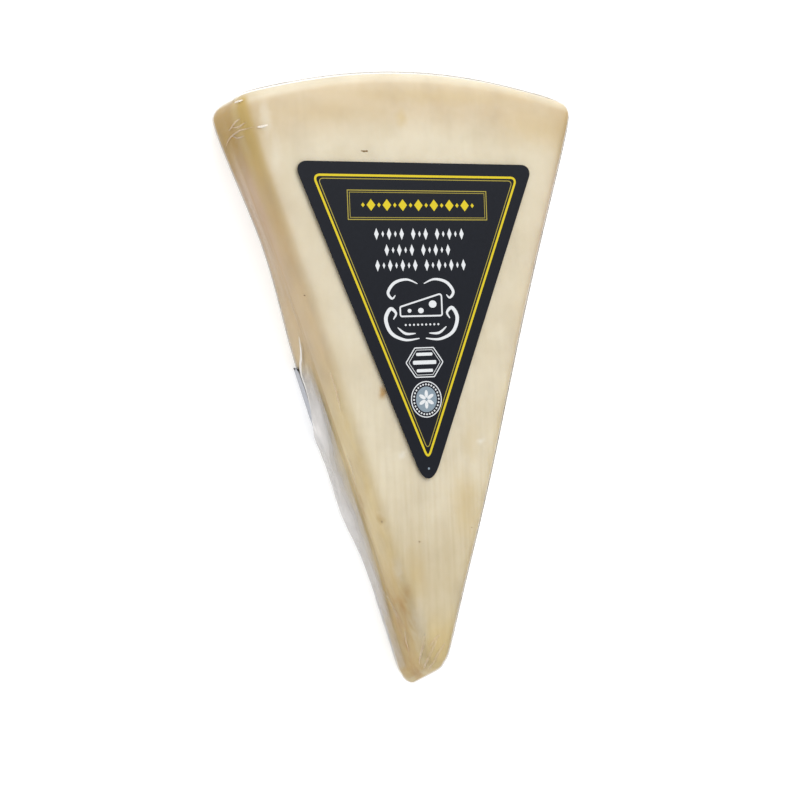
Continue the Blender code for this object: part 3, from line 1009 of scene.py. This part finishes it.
def build_white_print():
    shape = bmesh.new()
    for y, start, groups in ((-18.2, -12.1, (5, 3, 5)), (-22.3, -9.4, (5, 5)), (-26.2, -12.1, (7, 7))):
        x = start
        for count in groups:
            for step in range(count):
                tall, wide = (1.5, 0.62) if step % 2 == 0 else (0.8, 0.36)
                leaf = ((x - wide, y), (x, y - tall), (x + wide, y), (x, y + tall))
                add_field(shape, leaf, (0.0,) * 4)
                x += 1.75
            x += 1.5

    # A wedge of cheese with holes, between two scrolls
    x, y = -0.3, -36.4
    wedge = ((x - 6.2, y - 3.0), (x + 6.0, y - 3.0), (x + 6.0, y + 3.2), (x - 6.2, y - 0.2))
    add_loop(shape, wedge, (0.7, 0.7, 0.9, 0.6), 0.42)
    for aside, above, width, height in ((3.2, 0.2, 2.2, 1.9), (-0.2, -1.4, 1.6, 1.4), (-3.4, -1.4, 1.1, 1.0)):
        add_field(shape, oval_corners(x + aside, y + above, width, height, 20), (0.0,) * 20)
    for mirrored in (False, True):
        for spots, width in SCROLLS:
            add_stroke(shape, spots, width, mirrored)
    for step in range(-4, 5):
        add_field(shape, oval_corners(-0.3 + 1.15 * step, -41.4, 0.55, 0.55, 12), (0.0,) * 12)

    # A plain six-sided badge
    for share, radius, line in ((1.0, 0.5, 0.28), (0.84, 0.4, 0.14)):
        badge = oval_corners(0.0, BADGE_ROW, 10.8 * share, 9.0 * share, 6)
        add_loop(shape, badge, (radius,) * 6, line)
    for above, width, height in ((2.1, 4.6, 0.8), (0.0, 6.6, 1.0), (-2.1, 4.6, 0.8)):
        add_field(shape, box_corners(0.0, BADGE_ROW + above, width, height), (0.3,) * 4)

    # A round seal with a ring of dots and a six-leaved flower
    x, y = 0.13, -60.6
    add_loop(shape, oval_corners(x, y, 8.7, 9.4), (0.0,) * 40, 0.26)
    for step in range(28):
        turn = math.tau * step / 28
        add_field(shape, oval_corners(x + 3.5 * math.cos(turn), y + 3.85 * math.sin(turn), 0.5, 0.5, 8), (0.0,) * 8)
    for step in range(6):
        turn = math.tau * (step + 0.5) / 6
        centre = Vector((x + 1.3 * math.cos(turn), y + 1.4 * math.sin(turn)))
        leaf = []
        for corner in oval_corners(0.0, 0.0, 2.0, 0.95, 16):
            spun = Matrix.Rotation(turn, 2) @ Vector(corner)
            leaf.append((centre.x + spun.x, centre.y + spun.y))
        add_field(shape, leaf, (0.0,) * 16)
    print_on_label("white_print", shape, settings("label_settings").white)

    grey = bmesh.new()
    add_field(grey, oval_corners(x, y, 5.9, 6.6), (0.0,) * 40)
    add_field(grey, oval_corners(0.1, -78.4, 0.6, 0.6, 16), (0.0,) * 16)
    print_on_label("grey_print", grey, settings("label_settings").grey, 0.6 * INK)


def dress_labels():
    chosen = settings("label_settings")
    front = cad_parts["front_label"]
    front.data.materials.clear()
    front.data.materials.append(paper_material("black_label_paper", chosen.front, 1.2, 0.42))
    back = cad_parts["back_label"]
    back.data.materials.clear()
    back.data.materials.append(paper_material("white_label_paper", chosen.back, 0.4, 0.4))


def build_back_print():
    """Short dark strokes by the back label's edge, and plain rows of bars below."""
    shape = bmesh.new()
    surface = surface_of("back_label")
    lines = [
        ((-27.9, 5.3, 2.6), (-28.2, 5.4, 4.8), (-27.6, 5.3, 7.6)),
        ((-26.3, -6.4, 2.3), (-25.8, -8.0, 2.3), (-25.4, -9.6, 2.3)),
        ((-25.0, -11.0, 2.0), (-24.8, -11.8, 2.0), (-24.6, -12.6, 2.0)),
        ((-26.0, -7.4, 1.0), (-25.5, -9.0, 1.0), (-25.1, -10.6, 1.0)),
    ]
    for row in range(6):
        y = 2.6 - 3.0 * row
        for start, end in ((-20.0, -12.5 + row % 3), (-10.5 + row % 3, -1.0 - row % 2), (1.0 - row % 2, 7.5 - row)):
            lines.append(((start, y, 0.0), (0.5 * (start + end), y, 0.0), (end, y, 0.0)))
    for spots in lines:
        add_ridge(shape, surface, spots, width=0.7, height=0.03)
    material = paper_material("dark_print", settings("label_settings").ink, 0.3, 0.4)
    add_piece("back_print", shape, material)


# The studio

def build_floor():
    """A light table: pale, and lit a little from below so that shadows stay faint."""
    chosen = settings("studio_settings")
    shape = bmesh.new()
    bmesh.ops.create_grid(shape, x_segments=1, y_segments=1, size=3000.0)
    bmesh.ops.scale(shape, verts=shape.verts, vec=(MM, MM, MM))
    mesh = bpy.data.meshes.new("floor")
    shape.to_mesh(mesh)
    shape.free()
    material, tree = new_material("pale_floor")
    shader = add_node(
        tree, "ShaderNodeBsdfPrincipled",
        {
            "Base Color": (*chosen.floor, 1.0), "Roughness": 0.6,
            "Emission Color": (1.0, 1.0, 1.0, 1.0), "Emission Strength": chosen.glow,
        },
    )
    finish_material(tree, shader.outputs["BSDF"])
    mesh.materials.append(material)
    floor = bpy.data.objects.new("floor", mesh)
    bpy.context.scene.collection.objects.link(floor)


def add_light(name, spot, target, size, power):
    """A square soft light that looks at a target."""
    lamp = bpy.data.lights.new(name, "AREA")
    lamp.shape = "SQUARE"
    lamp.size = size
    lamp.energy = power
    light = bpy.data.objects.new(name, lamp)
    light.location = spot
    light.rotation_euler = (Vector(target) - Vector(spot)).to_track_quat("-Z", "Y").to_euler()
    bpy.context.scene.collection.objects.link(light)


def build_studio():
    """The floor, three soft lights, light from all round, and the camera where the photo was taken from."""
    chosen = settings("studio_settings")
    build_floor()
    add_light("key", (0.25, 0.7, 0.9), (0.0, 0.0, 0.0), 1.0, chosen.key)
    add_light("rind light", (0.0, 0.8, 0.3), (0.0, 0.05, 0.02), 0.5, chosen.rim)
    add_light("fill", (-0.8, -0.15, 0.45), (0.0, 0.0, 0.01), 0.7, chosen.fill)
    world = bpy.data.worlds.new("studio")
    world.use_nodes = True
    world.node_tree.nodes["Background"].inputs["Color"].default_value = (1.0, 1.0, 1.0, 1.0)
    world.node_tree.nodes["Background"].inputs["Strength"].default_value = chosen.sky
    scene = bpy.context.scene
    scene.world = world
    scene.view_settings.view_transform = "Standard"

    data = bpy.data.cameras.new("camera")
    data.lens = CAMERA_LENS
    data.sensor_width = 36.0
    data.clip_start = 0.01
    camera = bpy.data.objects.new("camera", data)
    look = CAMERA_LOOK.normalized()
    right = look.cross(CAMERA_UP).normalized()
    up = right.cross(look)
    turn = Matrix((right, up, -look)).transposed()
    camera.matrix_world = Matrix.Translation(CAMERA_SPOT * MM) @ turn.to_4x4()
    scene.collection.objects.link(camera)
    scene.camera = camera


class CHEDDAR_OT_cheese(bpy.types.Operator):
    """Build the cheese"""

    bl_idname = "cheddar.cheese"
    bl_label = "Cheese"

    def execute(self, context):
        build_cheese()
        build_specks()
        return {"FINISHED"}


class CHEDDAR_OT_film(bpy.types.Operator):
    """Wrap the cheese in film"""

    bl_idname = "cheddar.film"
    bl_label = "Film"

    def execute(self, context):
        build_film()
        build_overlap()
        build_folds()
        build_fins()
        return {"FINISHED"}


class CHEDDAR_OT_labels(bpy.types.Operator):
    """Finish the labels and print them"""

    bl_idname = "cheddar.labels"
    bl_label = "Labels"

    def execute(self, context):
        dress_labels()
        build_yellow_print()
        build_white_print()
        build_back_print()
        return {"FINISHED"}


class CHEDDAR_OT_studio(bpy.types.Operator):
    """Set up the floor, lights and camera"""

    bl_idname = "cheddar.studio"
    bl_label = "Studio"

    def execute(self, context):
        build_studio()
        return {"FINISHED"}


class CHEDDAR_PT_panel(bpy.types.Panel):
    """The wedge's pieces and their settings"""

    bl_label = "Cheddar wedge"
    bl_idname = "CHEDDAR_PT_panel"
    bl_space_type = "VIEW_3D"
    bl_region_type = "UI"
    bl_category = "Cheddar"

    def draw(self, context):
        layout = self.layout
        for group, operator in STEPS:
            box = layout.box()
            chosen = getattr(context.scene, group)
            for name in chosen.__annotations__:
                box.prop(chosen, name)
            box.operator(operator)


STEPS = (
    ("cheese_settings", "cheddar.cheese"),
    ("film_settings", "cheddar.film"),
    ("label_settings", "cheddar.labels"),
    ("studio_settings", "cheddar.studio"),
)
GROUPS = {
    "cheese_settings": CheeseSettings,
    "film_settings": FilmSettings,
    "label_settings": LabelSettings,
    "studio_settings": StudioSettings,
}
CLASSES = (
    *GROUPS.values(),
    CHEDDAR_OT_cheese, CHEDDAR_OT_film, CHEDDAR_OT_labels, CHEDDAR_OT_studio, CHEDDAR_PT_panel,
)


def register():
    for made in CLASSES:
        bpy.utils.register_class(made)
    for name, group in GROUPS.items():
        setattr(bpy.types.Scene, name, PointerProperty(type=group))


def unregister():
    for name in GROUPS:
        delattr(bpy.types.Scene, name)
    for made in reversed(CLASSES):
        bpy.utils.unregister_class(made)


def main():
    register()
    bpy.ops.cheddar.cheese()
    bpy.ops.cheddar.film()
    bpy.ops.cheddar.labels()
    bpy.ops.cheddar.studio()


if __name__ == "__main__":
    main()
